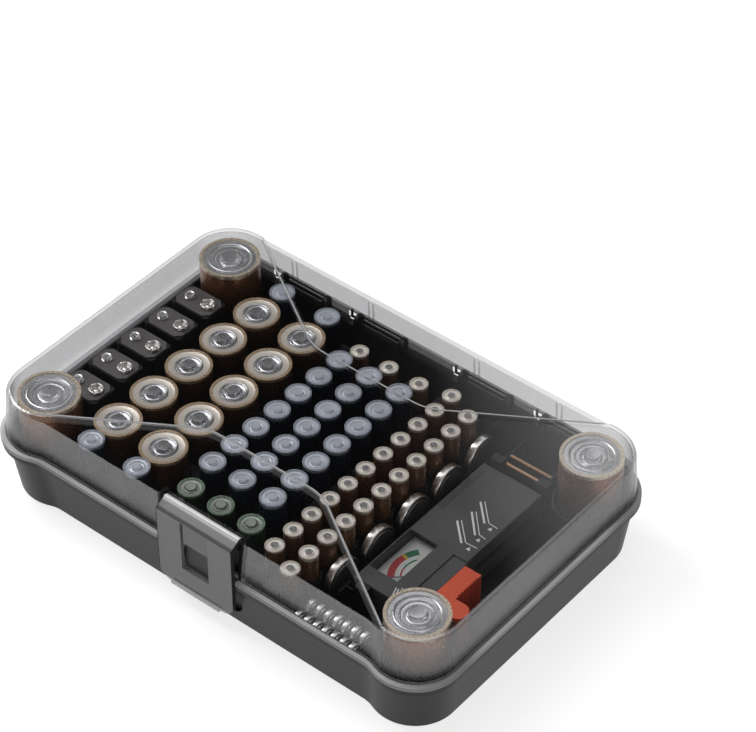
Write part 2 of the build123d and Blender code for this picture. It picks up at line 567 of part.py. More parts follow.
# ---------------------------------------------------------------- cells
def can(r, tall, nub_r, nub_h):
    """Steel can with a rolled rim, sunken top and positive nub, drawn by revolving."""
    h = tall - nub_h
    pts = [(0, 0), (r - 0.4, 0), (r, 0.4), (r, h - 0.3), (r - 0.3, h), (r * 0.86, h), (r * 0.82, h - 0.5),
           (nub_r + 1.4, h - 0.5), (nub_r + 0.9, h + 0.2), (nub_r + 0.1, h + 0.2), (nub_r, tall - 0.3),
           (nub_r - 0.3, tall), (0, tall)]
    return revolve(Plane.XZ * poly(pts), Axis.Z)


def sleeve(r, tall, nub_h, skin=0.2, fold=1.1):
    """Wrap round a can, turned in over its top edge."""
    h = tall - nub_h
    pts = [(r, 0.6), (r + skin, 0.6), (r + skin, h + skin), (r - fold, h + skin), (r - fold, h + 0.005),
           (r, h + 0.005)]
    return revolve(Plane.XZ * poly(pts), Axis.Z)


def send_cells(name, r, tall, nub_r, nub_h, places, fold=1.1):
    stand = [(x, y, FLOOR) for x, y in places]
    send(copies(can(r - 0.22, tall, nub_r, nub_h), stand), name + "_cans")
    send(copies(sleeve(r - 0.215, tall, nub_h, fold=fold), stand), name + "_sleeves")


def nine_volts():
    spots = [(NINE_X, y, FLOOR) for y in NINE_Y]
    body = Pos(0, 0, 22.7) * Box(26.3, 17.3, 45.4)
    body = fillet(body.edges().filter_by(Axis.Z), 2.2)
    send(copies(body, spots), "nine_volt_jackets")
    top = rect(-12.6, 12.6, -8.1, 8.1)
    top = chamfer(top.vertices(), 3.4)
    send(copies(prism(top, 45.4, 46.3), spots), "nine_volt_tops")
    pair = Sketch() + [disc(-6.4, 0, 2.9), Pos(6.4, 0) * RegularPolygon(4.1, 6)]
    ends = prism(pair, 46.3, 48.5) - rod_z(6.4, 0, 47.0, 49, 2.9)
    send(copies(ends, spots), "nine_volt_terminals")


def disc_cell_x(r, wide, rim):
    """A flat round cell standing on edge, its axis along X, centred on its width."""
    body = rod_x(-wide / 2, wide / 2, 0, 0, r)
    return fillet(body.edges().filter_by(GeomType.CIRCLE), rim)


# ---------------------------------------------------------------- write the nodes
send(base_tray(), "base_tray")
send(hinge_pins(), "hinge_pins")
send(lid(), "lid")
send(latch(), "latch")

send(tester_front(), "tester_front")
send(tester_back(), "tester_back")
send(tester_window(), "tester_window")
send(dial_plate(), "dial_plate")
send(meter_movement(), "meter_movement")
send(dial_needle(), "dial_needle")
send(tester_slider(), "tester_slider")
send(circuit_board(), "circuit_board")
send(load_resistors(), "load_resistors")
send(tester_screws(), "tester_screws")
send(contact_strip(ARM_Y, ARM_Y + 0.4), "arm_contact")
send(contact_strip(SLIDE_Y - 0.25, SLIDE_Y), "slider_contact")
send(end_contacts(), "end_contacts")

d_spots = [(sx * D_XY[0], sy * D_XY[1]) for sx in (-1, 1) for sy in (-1, 1)]
send_cells("d_cell", 17.1, 61.5, 4.75, 1.5, d_spots, 1.6)
send_cells("c_cell", 13.1, 50.0, 3.75, 1.5, [(x, y) for x in C_X for y in C_Y], 1.4)
aa_spots = [(x, y) for x in AA_X for y in AA_Y[1:8]] + [(x, y) for x in C_X for y in END_Y]
send_cells("aa_cell", 7.25, 50.5, 2.75, 1.0, aa_spots, 0.8)
aaa_spots = [(x, y) for x, rows in (AAA_A, AAA_B) for y in rows] + [(x, AA_Y[0]) for x in AA_X]
send_cells("aaa_cell", 5.25, 44.5, 1.9, 0.8, aaa_spots, 0.6)
send_cells("photo_cell", 7.25, 44.5, 3.0, 1.0, [(x, AA_Y[8]) for x in AA_X], 1.0)
nine_volts()
send(copies(disc_cell_x(12.25, 5.0, 0.6), [(COIN_X, y, SHELF + 12.25) for y in COIN_Y]), "coin_cells")
rack_x = [RACK_X0 + RACK_PITCH * (k + 0.5) for k in range(RACK_SLOTS)]
button_spots = [(x, y, RACK_BASE + BUTTON_R) for x in rack_x for y in BUTTON_Y]
send(copies(disc_cell_x(BUTTON_R, 3.6, 0.4), button_spots), "button_cells")
flat_y = [COMB_Y0 + COMB_PITCH * (k + 0.5) for k in (1, 3)]
flat_x = (COMB_X[0] + 0.8, COMB_X[1] - 0.8)
flat = [box(*flat_x, y - 0.85, y + 0.85, FLOOR, 23.6) for y in flat_y]
send(Compound(children=flat), "flat_cells")
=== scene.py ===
import math
import bmesh
import bpy
from mathutils import Matrix, Vector


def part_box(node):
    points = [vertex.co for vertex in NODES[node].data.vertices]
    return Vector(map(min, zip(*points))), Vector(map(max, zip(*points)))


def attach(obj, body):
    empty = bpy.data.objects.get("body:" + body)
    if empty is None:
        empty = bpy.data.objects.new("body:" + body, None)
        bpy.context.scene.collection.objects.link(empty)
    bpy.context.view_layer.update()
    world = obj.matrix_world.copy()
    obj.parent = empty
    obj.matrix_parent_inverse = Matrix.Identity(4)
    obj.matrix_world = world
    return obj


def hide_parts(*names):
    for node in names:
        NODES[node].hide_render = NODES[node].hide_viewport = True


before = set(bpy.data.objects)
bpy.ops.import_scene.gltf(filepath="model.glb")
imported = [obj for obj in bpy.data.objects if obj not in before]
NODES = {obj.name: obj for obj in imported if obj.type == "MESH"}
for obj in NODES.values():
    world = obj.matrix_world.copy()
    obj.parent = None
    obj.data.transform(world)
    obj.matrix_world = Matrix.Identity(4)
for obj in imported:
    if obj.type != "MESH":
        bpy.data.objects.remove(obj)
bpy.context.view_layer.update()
MM = 0.001
STEEP = math.radians(28)      # edges sharper than STEEP stay crisp
MERGE = 0.002 * MM            # vertices closer than MERGE are one


# ------------------------------------------------------------------ node helpers
NOISE_SPAN = (0.3, 0.7)       # nearly all values of a noise lie between these
GRAIN_DEPTH = 0.02 * MM
PATCH_GRAIN = 60.0
HEIGHT_WANDER = 0.05          # how far the bands of a sleeve wander, as a share of their height
COAT_ROUGH = 0.12


def new_material(name):
    mat = bpy.data.materials.new(name)
    mat.use_nodes = True
    nt = mat.node_tree
    nt.nodes.clear()
    out = nt.nodes.new("ShaderNodeOutputMaterial")
    return mat, nt, out


def link(nt, source, target):
    nt.links.new(source, target)


def put(nt, value, target):
    """Sets a number on the target socket, or links another socket to it."""
    if isinstance(value, (int, float)):
        target.default_value = value
    else:
        link(nt, value, target)


def math_node(nt, kind, *values):
    n = nt.nodes.new("ShaderNodeMath")
    n.operation = kind
    for target, value in zip(n.inputs, values):
        put(nt, value, target)
    return n.outputs[0]


def product(nt, first, *others):
    for other in others:
        first = math_node(nt, "MULTIPLY", first, other)
    return first


def within(nt, source, low, high):
    """1 where source lies between low and high, else 0."""
    return product(nt, math_node(nt, "GREATER_THAN", source, low), math_node(nt, "LESS_THAN", source, high))


def share_of(nt, source, low, high):
    """0 where source is low and 1 where it is high."""
    return math_node(nt, "MULTIPLY_ADD", source, 1.0 / (high - low), -low / (high - low))


def parts_of(nt, vector):
    n = nt.nodes.new("ShaderNodeSeparateXYZ")
    link(nt, vector, n.inputs[0])
    return n.outputs


def object_place(nt):
    return nt.nodes.new("ShaderNodeTexCoord").outputs["Object"]


def noise(nt, grain, detail, stretch=(1, 1, 1)):
    """Noise with features of about 1/grain metres on Object coordinates."""
    place = nt.nodes.new("ShaderNodeMapping")
    place.inputs["Scale"].default_value = stretch
    link(nt, object_place(nt), place.inputs["Vector"])
    n = nt.nodes.new("ShaderNodeTexNoise")
    n.inputs["Scale"].default_value = grain
    n.inputs["Detail"].default_value = detail
    link(nt, place.outputs["Vector"], n.inputs["Vector"])
    return n.outputs["Fac"]


def ramp(nt, source, stops):
    """A colour that follows source between stops of (source from 0 to 1, colour)."""
    n = nt.nodes.new("ShaderNodeValToRGB")
    link(nt, source, n.inputs["Fac"])
    band = n.color_ramp
    while len(band.elements) < len(stops):
        band.elements.new(0.5)
    for element, (place, colour) in zip(band.elements, stops):
        element.position = place
        element.color = (*colour, 1.0)
    return n.outputs["Color"]


def steps_of(nt, source, stops):
    """A value that follows source along straight runs between stops of (source, value)."""
    low, high = stops[0][0], stops[-1][0]
    fitted = [((at - low) / (high - low), (value,) * 3) for at, value in stops]
    return ramp(nt, share_of(nt, source, low, high), fitted)


def spread(nt, source, low, high):
    """A noise spread over low..high."""
    n = nt.nodes.new("ShaderNodeMapRange")
    link(nt, source, n.inputs["Value"])
    n.inputs["From Min"].default_value, n.inputs["From Max"].default_value = NOISE_SPAN
    n.inputs["To Min"].default_value = low
    n.inputs["To Max"].default_value = high
    return n.outputs["Result"]


def bump(nt, source, depth, strength):
    n = nt.nodes.new("ShaderNodeBump")
    n.inputs["Distance"].default_value = depth
    n.inputs["Strength"].default_value = strength
    link(nt, source, n.inputs["Height"])
    return n.outputs["Normal"]


def mix_shaders(nt, share, first, second):
    """The first shader, with a share of the second over it."""
    n = nt.nodes.new("ShaderNodeMixShader")
    put(nt, share, n.inputs["Fac"])
    link(nt, first, n.inputs[1])
    link(nt, second, n.inputs[2])
    return n.outputs[0]


def shade(colour, k):
    return tuple(min(1.0, c * k) for c in colour)


def tones(colour, drift):
    """Ramp stops that take a noise from a little darker than the colour to a little lighter."""
    return [(place, shade(colour, k)) for place, k in zip(NOISE_SPAN, (1 - drift, 1 + drift))]


def surface(name, colour, rough=(0.35, 0.5), metal=0.0, grain=2500.0, relief=0.3, tone=0.12,
            stretch=(1, 1, 1), coat=0.0, gloss=0.5):
    """A moulded, painted or metal finish: tone drifts in patches, the grain is in roughness and relief.
    colour: one colour, or (low, high, stops) for bands of colour between two heights in millimetres."""
    mat, nt, out = new_material(name)
    bsdf = nt.nodes.new("ShaderNodeBsdfPrincipled")
    bsdf.inputs["Metallic"].default_value = metal
    bsdf.inputs["Specular IOR Level"].default_value = gloss
    bsdf.inputs["Coat Weight"].default_value = coat
    bsdf.inputs["Coat Roughness"].default_value = COAT_ROUGH
    fine = noise(nt, grain, 4.0, stretch)
    broad = noise(nt, PATCH_GRAIN, 2.0)
    if isinstance(colour[-1], list):
        low, high, stops = colour
        rise = share_of(nt, parts_of(nt, object_place(nt))["Z"], low * MM, high * MM)
        colour_out = ramp(nt, math_node(nt, "MULTIPLY_ADD", broad, HEIGHT_WANDER, rise), stops)
    else:
        colour_out = ramp(nt, broad, tones(colour, tone))
    link(nt, colour_out, bsdf.inputs["Base Color"])
    link(nt, spread(nt, fine, *rough), bsdf.inputs["Roughness"])
    link(nt, bump(nt, fine, GRAIN_DEPTH, relief), bsdf.inputs["Normal"])
    link(nt, bsdf.outputs[0], out.inputs["Surface"])
    return mat


UPRIGHT, LEVEL = 0.25, 0.97             # a normal's Z below the one is a wall, above the other a level face
EDGE_POWER, MIRROR_POWER = 2.5, 5.0     # how late the darkening and the mirror rise towards edge-on
HAZE_GRAIN, HAZE_DRIFT = 40.0, 0.06
SHEEN_GRAIN, SHEEN_SPREAD = 90.0, 1.6
RIPPLE_GRAIN, RIPPLE_DEPTH, RIPPLE = 45.0, 0.03 * MM, 0.25
# the black that paints shade into see-through plastic: shadow gaps, dark overlaps and dark edge lines
PAINTED_SHADE_BLACK = (0.012, 0.012, 0.013, 1)
ANYWHERE = (-1000, 1000)                # a range in millimetres that leaves nothing out


def clear_plastic(name, tint, haze, haze_colour, gloss=0.03, edge=0.55, mirror=0.06,
                  top_edge_highlight=None, milk=None, lip=None, foot=None, painted_shade_zones=()):
    """See-through moulding: clear colour, a share of pale haze, and a mirror that rises towards edge-on.
    Nothing in it refracts. All heights and ranges are in millimetres.
    tint, edge: the clear colour seen square on, and the share of it that is left edge-on.
    haze_colour: one colour, or a list of stops of height against how pale the haze is.
    top_edge_highlight: (height, haze) of slanted faces above that height, a painted highlight: the line of
    light along the top edges.
    milk: (height, haze) of walls above that height.
    lip: (height, haze of walls, haze of level faces) of the thick flange below that height, a painted
    highlight for the light that the flange's edge catches, paler on level faces.
    foot: stops of height against the share of the mirror that is left: painted shade, the reflection dimmed
    low on the walls.
    painted_shade_zones: (share of black, x range, y range, z range) of boxes painted dark as shade: shadow
    gaps, dark overlaps and dark edge lines."""
    mat, nt, out = new_material(name)
    normal = nt.nodes.new("ShaderNodeNewGeometry").outputs["Normal"]
    upward = math_node(nt, "ABSOLUTE", parts_of(nt, normal)["Z"])
    place = parts_of(nt, object_place(nt))
    height = place["Z"]
    facing = nt.nodes.new("ShaderNodeLayerWeight")
    facing.inputs["Blend"].default_value = 0.5
    slant = facing.outputs["Facing"]

    def at_height(stops):
        return steps_of(nt, height, [(at * MM, value) for at, value in stops])

    clear = nt.nodes.new("ShaderNodeBsdfTransparent")
    link(nt, ramp(nt, math_node(nt, "POWER", slant, EDGE_POWER), [(0.0, tint), (1.0, shade(tint, edge))]),
         clear.inputs["Color"])
    cloud = nt.nodes.new("ShaderNodeBsdfDiffuse")
    if isinstance(haze_colour, list):
        cloud_colour = at_height(haze_colour)
    else:
        cloud_colour = ramp(nt, noise(nt, HAZE_GRAIN, 2.0), tones(haze_colour, HAZE_DRIFT))
    link(nt, cloud_colour, cloud.inputs["Color"])

    # painted highlight: slanted faces near the top, seen square on, get extra pale haze
    if top_edge_highlight:
        above = math_node(nt, "GREATER_THAN", height, top_edge_highlight[0] * MM)
        square_on = math_node(nt, "SUBTRACT", 1.0, slant)
        slanted = within(nt, upward, UPRIGHT, LEVEL)
        haze = math_node(nt, "MAXIMUM", haze, product(nt, above, slanted, top_edge_highlight[1], square_on))
    if milk:
        above = math_node(nt, "GREATER_THAN", height, milk[0] * MM)
        wall = math_node(nt, "LESS_THAN", upward, UPRIGHT)
        haze = math_node(nt, "MAXIMUM", haze, product(nt, above, wall, milk[1]))
    # painted highlight: the flange below the lip height gets pale haze, more on level faces than on walls
    if lip:
        below = math_node(nt, "LESS_THAN", height, lip[0] * MM)
        flange = steps_of(nt, upward, [(0.0, lip[1]), (1.0, lip[2])])
        haze = math_node(nt, "MAXIMUM", haze, product(nt, below, flange))
    body = mix_shaders(nt, haze, clear.outputs[0], cloud.outputs[0])

    rise = math_node(nt, "MULTIPLY_ADD", math_node(nt, "POWER", slant, MIRROR_POWER), 1.0 - mirror, mirror)
    # painted shade: the mirror is dimmed low on the walls, where the reflection would show the box's shadow
    if foot:
        rise = product(nt, rise, at_height(foot))
    # painted shade: each zone is blended towards black, and its mirror fades by the same share
    for share, *runs in painted_shade_zones:
        inside = [within(nt, place[axis], run[0] * MM, run[1] * MM) for axis, run in zip("XYZ", runs)]
        there = product(nt, *inside, share)
        black = nt.nodes.new("ShaderNodeBsdfDiffuse")
        black.inputs["Color"].default_value = PAINTED_SHADE_BLACK
        body = mix_shaders(nt, there, body, black.outputs[0])
        rise = product(nt, rise, math_node(nt, "SUBTRACT", 1.0, there))
    shine = nt.nodes.new("ShaderNodeBsdfGlossy")
    link(nt, spread(nt, noise(nt, SHEEN_GRAIN, 2.0), gloss, gloss * SHEEN_SPREAD), shine.inputs["Roughness"])
    link(nt, bump(nt, noise(nt, RIPPLE_GRAIN, 1.0), RIPPLE_DEPTH, RIPPLE), shine.inputs["Normal"])
    link(nt, mix_shaders(nt, rise, body, shine.outputs[0]), out.inputs["Surface"])
    return mat


# ------------------------------------------------------------------ finishes
MATT = (0.5, 0.6)
SHADOW_GAP_X, SHADOW_GAP_Z = (26.5, 28.7), (38.0, 65.5)       # painted shadow gaps at both sides of the lid's front notch
LATCH_TINT = (0.55, 0.55, 0.56)
LATCH_EDGE = 25.1                               # half width of the latch inside its side walls, which are painted dark as shadow gaps
SLEEVE_FOOT = 2.2                               # height of the foot of every sleeve


def bright_metal(name, colour, metal, rough, tone):
    """Plated or drawn metal, nearly without relief."""
    return surface(name, colour, metal=metal, rough=rough, relief=0.03, tone=tone)


def sleeve_finish(name, fold, top, middle, low, top_height):
    """Shiny wrap: its colour deepens from the shoulder of the cell down to its foot, partly the wrap's own
    dark lower colour and partly painted shade among the packed cells.
    """
    # the middle and low stops are partly painted shade: the sides darken towards the foot as in the shadow
    # deep in the case
    bands = [(0.0, low), (0.55, middle), (0.9, top), (0.985, top), (0.993, fold)]
    return surface(name, (SLEEVE_FOOT, top_height, bands), metal=0.55, rough=(0.24, 0.34), grain=900.0,
                   coat=0.2, relief=0.06)


case_black = surface("case_black", (0.007, 0.0072, 0.0088), rough=(0.38, 0.48), relief=0.1, gloss=0.36)
lid_smoke = clear_plastic(
    "lid_smoke", (0.965, 0.965, 0.97), 0.0, (0.62, 0.62, 0.63), mirror=0.08, edge=0.35,
    top_edge_highlight=(65.2, 0.40), milk=(46.0, 0.045), lip=(37.95, 0.30, 0.55),
    foot=[(35.0, 0.3), (38.0, 0.1), (40.5, 0.15), (45.0, 0.8), (52.0, 1.0), (66.0, 1.0)],
    # painted shade: the knuckle darkened by what lies behind it, the shadow gaps beside the front notch, and
    # dark lines along the rear and left top edges
    painted_shade_zones=((0.65, ANYWHERE, (93.5, 1000), (-1000, 46.6)),
             (0.8, SHADOW_GAP_X, (-1000, -85.5), SHADOW_GAP_Z),
             (0.8, (-SHADOW_GAP_X[1], -SHADOW_GAP_X[0]), (-1000, -85.5), SHADOW_GAP_Z),
             (0.4, (-125, 125), (93.5, 1000), (64.3, 65.5)),
             (0.3, (-1000, -145.5), (-70, 75), (64.3, 65.5))))
latch_smoke = clear_plastic(
    "latch_smoke", LATCH_TINT, 0.62, gloss=0.06,
    # painted highlights along the latch's bottom lip and its top, and a painted dark line of shade at its
    # bend
    haze_colour=[(11.0, 0.95), (12.4, 0.95), (12.7, 0.29), (58.7, 0.31), (59.0, 0.10), (59.9, 0.10),
                 (60.2, 0.30), (61.9, 0.33), (62.2, 0.75), (63.3, 0.80)],
    # painted shade: both sides of the latch beyond its edge are blended nearly to black, as shadow gaps
    painted_shade_zones=((0.85, (LATCH_EDGE, 1000), ANYWHERE, ANYWHERE),
             (0.85, (-1000, -LATCH_EDGE), ANYWHERE, ANYWHERE)))
pane_smoke = clear_plastic("pane_smoke", LATCH_TINT, 0.75, (0.22, 0.22, 0.225), gloss=0.06)
# crease_light: a plain light grey that paints the highlight along the lid's creases
crease_light = surface("crease_light", (0.34, 0.34, 0.35), rough=(0.3, 0.4), tone=0.05)
pin_wire = surface("pin_wire", (0.03, 0.03, 0.032), metal=0.9, rough=(0.4, 0.5), relief=0.1,
                   stretch=(1, 8, 8))
tester_grey = surface("tester_grey", (0.068, 0.067, 0.067), rough=(0.40, 0.52))
window_clear = clear_plastic("window_clear", (0.97, 0.975, 0.975), 0.01, (0.8, 0.8, 0.8), edge=0.8,
                             mirror=0.04)
dial_white = surface("dial_white", (0.80, 0.80, 0.77), rough=MATT, tone=0.04)
meter_black = surface("meter_black", (0.02, 0.02, 0.021))
needle_black = surface("needle_black", (0.012, 0.012, 0.012), rough=(0.3, 0.4), metal=0.3)
slider_red = surface("slider_red", (0.72, 0.095, 0.035), rough=(0.32, 0.42), tone=0.06)
board_green = surface("board_green", (0.02, 0.13, 0.06), rough=(0.3, 0.4), coat=0.3)
resistor_tan = surface("resistor_tan", (0.42, 0.30, 0.18), rough=(0.35, 0.5))
contact_nickel = surface("contact_nickel", (0.72, 0.69, 0.62), metal=1.0, rough=(0.25, 0.4),
                         stretch=(1, 8, 1))
screw_zinc = surface("screw_zinc", (0.55, 0.55, 0.54), metal=1.0, rough=(0.3, 0.45))
print_white = surface("print_white", (0.75, 0.75, 0.75), rough=MATT, tone=0.05)
ink_red = surface("ink_red", (0.50, 0.03, 0.03), rough=MATT)
ink_green = surface("ink_green", (0.02, 0.20, 0.08), rough=MATT)
ink_yellow = surface("ink_yellow", (0.70, 0.48, 0.03), rough=MATT)
nickel = bright_metal("nickel", (0.62, 0.62, 0.63), 0.8, (0.22, 0.28), 0.05)
dull_nickel = bright_metal("dull_nickel", (0.40, 0.40, 0.41), 0.8, (0.24, 0.30), 0.05)
blue_nickel = bright_metal("blue_nickel", (0.62, 0.65, 0.71), 0.55, (0.28, 0.36), 0.06)
cream_ring = bright_metal("cream_ring", (0.62, 0.57, 0.50), 0.4, (0.32, 0.40), 0.06)
pale_ring = bright_metal("pale_ring", (0.82, 0.78, 0.71), 0.3, (0.30, 0.38), 0.05)
green_end = bright_metal("green_end", (0.31, 0.335, 0.30), 0.8, (0.36, 0.46), 0.08)
snap_silver = bright_metal("snap_silver", (0.80, 0.79, 0.77), 1.0, (0.2, 0.30), 0.06)
button_steel = bright_metal("button_steel", (0.66, 0.65, 0.64), 1.0, (0.30, 0.40), 0.06)
coin_steel = surface("coin_steel", (0.74, 0.71, 0.68), metal=1.0, rough=(0.22, 0.38), stretch=(0.15, 3, 3),
                     tone=0.10)
gasket_black = surface("gasket_black", (0.015, 0.015, 0.016), rough=(0.45, 0.6))
block_grey = surface("block_grey", (0.092, 0.082, 0.082), rough=(0.42, 0.55), tone=0.10)
jacket_black = surface("jacket_black", (0.018, 0.016, 0.016), rough=(0.28, 0.4), metal=0.4, coat=0.3)
d_copper = sleeve_finish("d_copper", (0.70, 0.60, 0.47), (0.24, 0.10, 0.042), (0.055, 0.020, 0.008),
                         (0.008, 0.003, 0.002), 62.4)
c_copper = sleeve_finish("c_copper", (0.55, 0.40, 0.26), (0.10, 0.042, 0.018), (0.022, 0.009, 0.005),
                         (0.006, 0.003, 0.002), 50.9)
aaa_copper = sleeve_finish("aaa_copper", (0.74, 0.66, 0.56), (0.24, 0.125, 0.060), (0.085, 0.040, 0.018),
                           (0.010, 0.005, 0.003), 46.1)
aa_navy = sleeve_finish("aa_navy", (0.40, 0.43, 0.50), (0.010, 0.020, 0.045), (0.004, 0.006, 0.012),
                        (0.002, 0.002, 0.004), 51.9)
photo_green = sleeve_finish("photo_green", (0.20, 0.28, 0.20), (0.020, 0.055, 0.026), (0.004, 0.010, 0.005),
                            (0.002, 0.004, 0.002), 45.9)
flat_copper = surface("flat_copper", (21.6, 23.6, [(0.0, (0.02, 0.014, 0.012)), (0.42, (0.03, 0.018, 0.014)),
                                                   (0.55, (0.55, 0.27, 0.13)), (1.0, (0.75, 0.45, 0.26))]),
                      metal=0.7, rough=(0.25, 0.4))

CARRIED = {
    "base_tray": case_black, "lid": lid_smoke, "latch": latch_smoke, "hinge_pins": pin_wire,
    "tester_front": tester_grey, "tester_back": tester_grey, "tester_window": window_clear,
    "dial_plate": dial_white, "meter_movement": meter_black, "dial_needle": needle_black,
    "tester_slider": slider_red, "circuit_board": board_green, "load_resistors": resistor_tan,
    "tester_screws": screw_zinc, "arm_contact": contact_nickel, "slider_contact": contact_nickel,
    "end_contacts": contact_nickel, "d_cell_sleeves": d_copper, "c_cell_sleeves": c_copper,
    "aa_cell_sleeves": aa_navy, "aaa_cell_sleeves": aaa_copper, "photo_cell_sleeves": photo_green,
    "nine_volt_jackets": jacket_black, "nine_volt_tops": block_grey, "flat_cells": flat_copper,
}
for node, mat in CARRIED.items():
    NODES[node].data.materials.clear()
    NODES[node].data.materials.append(mat)


# ------------------------------------------------------------------ mesh helpers
def feet(node):
    """The middle of the underside of each separate solid in a CAD node."""
    bm = bmesh.new()
    bm.from_mesh(NODES[node].data)
    bmesh.ops.remove_doubles(bm, verts=bm.verts, dist=MERGE)
    bm.verts.index_update()
    seen, found = set(), []
    for start in bm.verts:
        if start.index in seen:
            continue
        stack, group = [start], []
        seen.add(start.index)
        while stack:
            v = stack.pop()
            group.append(v.co.copy())
            for e in v.link_edges:
                w = e.other_vert(v)
                if w.index not in seen:
                    seen.add(w.index)
                    stack.append(w)
        lo = Vector(min(p[i] for p in group) for i in range(3))
        hi = Vector(max(p[i] for p in group) for i in range(3))
        found.append(Vector(((lo.x + hi.x) / 2, (lo.y + hi.y) / 2, lo.z)))
    bm.free()
    return sorted(found, key=lambda p: (round(p.x, 5), round(p.y, 5)))


def turn(profile, steps):
    """A profile of (radius, height) in millimetres, spun round the Z axis."""
    bm = bmesh.new()
    points = [bm.verts.new((r * MM, 0, z * MM)) for r, z in profile]
    edges = [bm.edges.new(pair) for pair in zip(points, points[1:])]
    bmesh.ops.spin(bm, geom=points + edges, cent=(0, 0, 0), axis=(0, 0, 1), dvec=(0, 0, 0),
                   angle=2 * math.pi, steps=steps, use_merge=True)
    bmesh.ops.remove_doubles(bm, verts=bm.verts, dist=MERGE)
    bmesh.ops.recalc_face_normals(bm, faces=bm.faces)
    return bm


def shift(bm, geom, vec):
    bmesh.ops.translate(bm, verts=[g for g in geom if isinstance(g, bmesh.types.BMVert)], vec=vec)


def repeat(bm, places):
    """The same shape at each place, and none at the start."""
    first = bm.verts[:]
    geom = first + bm.edges[:] + bm.faces[:]
    for place in places:
        shift(bm, bmesh.ops.duplicate(bm, geom=geom)["geom"], place)
    bmesh.ops.delete(bm, geom=first, context="VERTS")
    return bm


def block(bm, lo, hi, turned=0.0, about=(0, 0)):
    """Adds a box from lo to hi in millimetres, turned about a plan point."""
    mid = Vector([(a + b) / 2 * MM for a, b in zip(lo, hi)])
    size = [(b - a) * MM for a, b in zip(lo, hi)]
    place = Matrix.Translation(mid) @ Matrix.Diagonal((*size, 1))
    if turned:
        pivot = Matrix.Translation((about[0] * MM, about[1] * MM, 0))
        place = pivot @ Matrix.Rotation(turned, 4, "Z") @ pivot.inverted() @ place
    bmesh.ops.create_cube(bm, size=1.0, matrix=place)


def soften(bm, width, segments=2):
    bmesh.ops.bevel(bm, geom=bm.edges[:], offset=width * MM, segments=segments, affect="EDGES",
                    profile=0.5, material=-1)


def piece(name, bm, body, mats):
    """Makes the object, with crisp edges kept crisp, and lets it ride on its body."""
    for f in bm.faces:
        f.smooth = True
    for e in bm.edges:
        e.smooth = e.calc_face_angle(0.0) < STEEP
    mesh = bpy.data.meshes.new(name)
    bm.to_mesh(mesh)
    bm.free()
    for mat in mats:
        mesh.materials.append(mat)
    obj = bpy.data.objects.new(name, mesh)
    bpy.context.scene.collection.objects.link(obj)
    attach(obj, body)
    return obj


# ------------------------------------------------------------------ cells
REST = 99                     # radius of a last finish that takes all that is left
COIN_R, BUTTON_R = 12.25, 4.75


def face_radius(f):
    mid = f.calc_center_median()
    return math.hypot(mid.x, mid.y) / MM


def cell_ends(name, node, profile, steps, mats, zones):
    """Whole cans of one size, stood where the CAD ones stand. zones: outer radius (mm) of each finish."""
    bm = turn(profile, steps)
    for f in bm.faces:
        f.material_index = next(k for k, limit in enumerate(zones) if face_radius(f) <= limit)
    repeat(bm, feet(node))
    obj = piece(name, bm, "case", mats)
    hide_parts(node)


def build_cells():
    d_top = [(0, 0), (16.5, 0), (16.87, 0.4), (16.87, 59.7), (16.6, 60.0), (15.2, 60.0), (14.8, 59.6),
             (12.7, 59.5), (12.3, 60.0), (11.9, 60.1), (11.5, 59.9), (11.2, 59.2), (9.5, 59.1),
             (9.2, 59.5), (8.8, 59.5), (8.3, 58.9), (6.4, 58.6), (5.6, 58.8), (5.3, 59.3), (4.9, 61.0),
             (4.5, 61.45), (4.0, 61.5), (0, 61.5)]
    cell_ends("d_cell_ends", "d_cell_cans", d_top, 64, [nickel, cream_ring], (14.9, REST))
    c_top = [(0, 0), (12.5, 0), (12.87, 0.4), (12.87, 48.2), (12.6, 48.5), (11.6, 48.5), (11.2, 48.3),
             (7.9, 48.2), (7.5, 48.6), (7.2, 48.75), (6.8, 48.6), (6.5, 48.0), (5.2, 47.6), (4.6, 47.8),
             (4.2, 48.4), (3.95, 49.5), (3.6, 49.95), (3.2, 50.0), (0, 50.0)]
    cell_ends("c_cell_ends", "c_cell_cans", c_top, 56, [dull_nickel, cream_ring], (8.0, REST))
    aa_top = [(0, 0), (6.7, 0), (7.03, 0.35), (7.03, 49.2), (6.8, 49.5), (6.2, 49.5), (5.9, 49.2),
              (4.7, 49.1), (4.4, 49.4), (4.0, 49.45), (3.6, 49.1), (3.1, 49.0), (2.85, 49.3), (2.7, 50.2),
              (2.4, 50.5), (0, 50.5)]
    cell_ends("aa_cell_ends", "aa_cell_cans", aa_top, 40, [blue_nickel], (REST,))
    aaa_top = [(0, 0), (4.8, 0), (5.03, 0.3), (5.03, 43.5), (4.85, 43.7), (4.5, 43.7), (4.2, 43.4),
               (3.2, 43.3), (2.9, 43.5), (2.6, 43.5), (2.3, 43.1), (2.05, 43.2), (1.9, 44.3), (1.7, 44.5),
               (0, 44.5)]
    cell_ends("aaa_cell_ends", "aaa_cell_cans", aaa_top, 32, [dull_nickel, pale_ring], (1.95, REST))
    photo_top = [(0, 0), (6.7, 0), (7.03, 0.35), (7.03, 43.2), (6.8, 43.5), (5.9, 43.5), (5.6, 43.2),
                 (4.4, 43.1), (4.1, 43.5), (3.7, 43.5), (3.4, 43.1), (3.1, 43.3), (2.95, 44.2),
                 (2.6, 44.5), (0, 44.5)]
    cell_ends("photo_cell_ends", "photo_cell_cans", photo_top, 40, [green_end], (REST,))


STUD_R = 2.9
SOCKET_INSET = 0.6            # how much further in than the stud the socket stands
LEAVES, LEAF_ROUND = 6, 0.22
LEAF = ((3.25, -1.7, 0.2), (3.95, 1.7, 2.15))


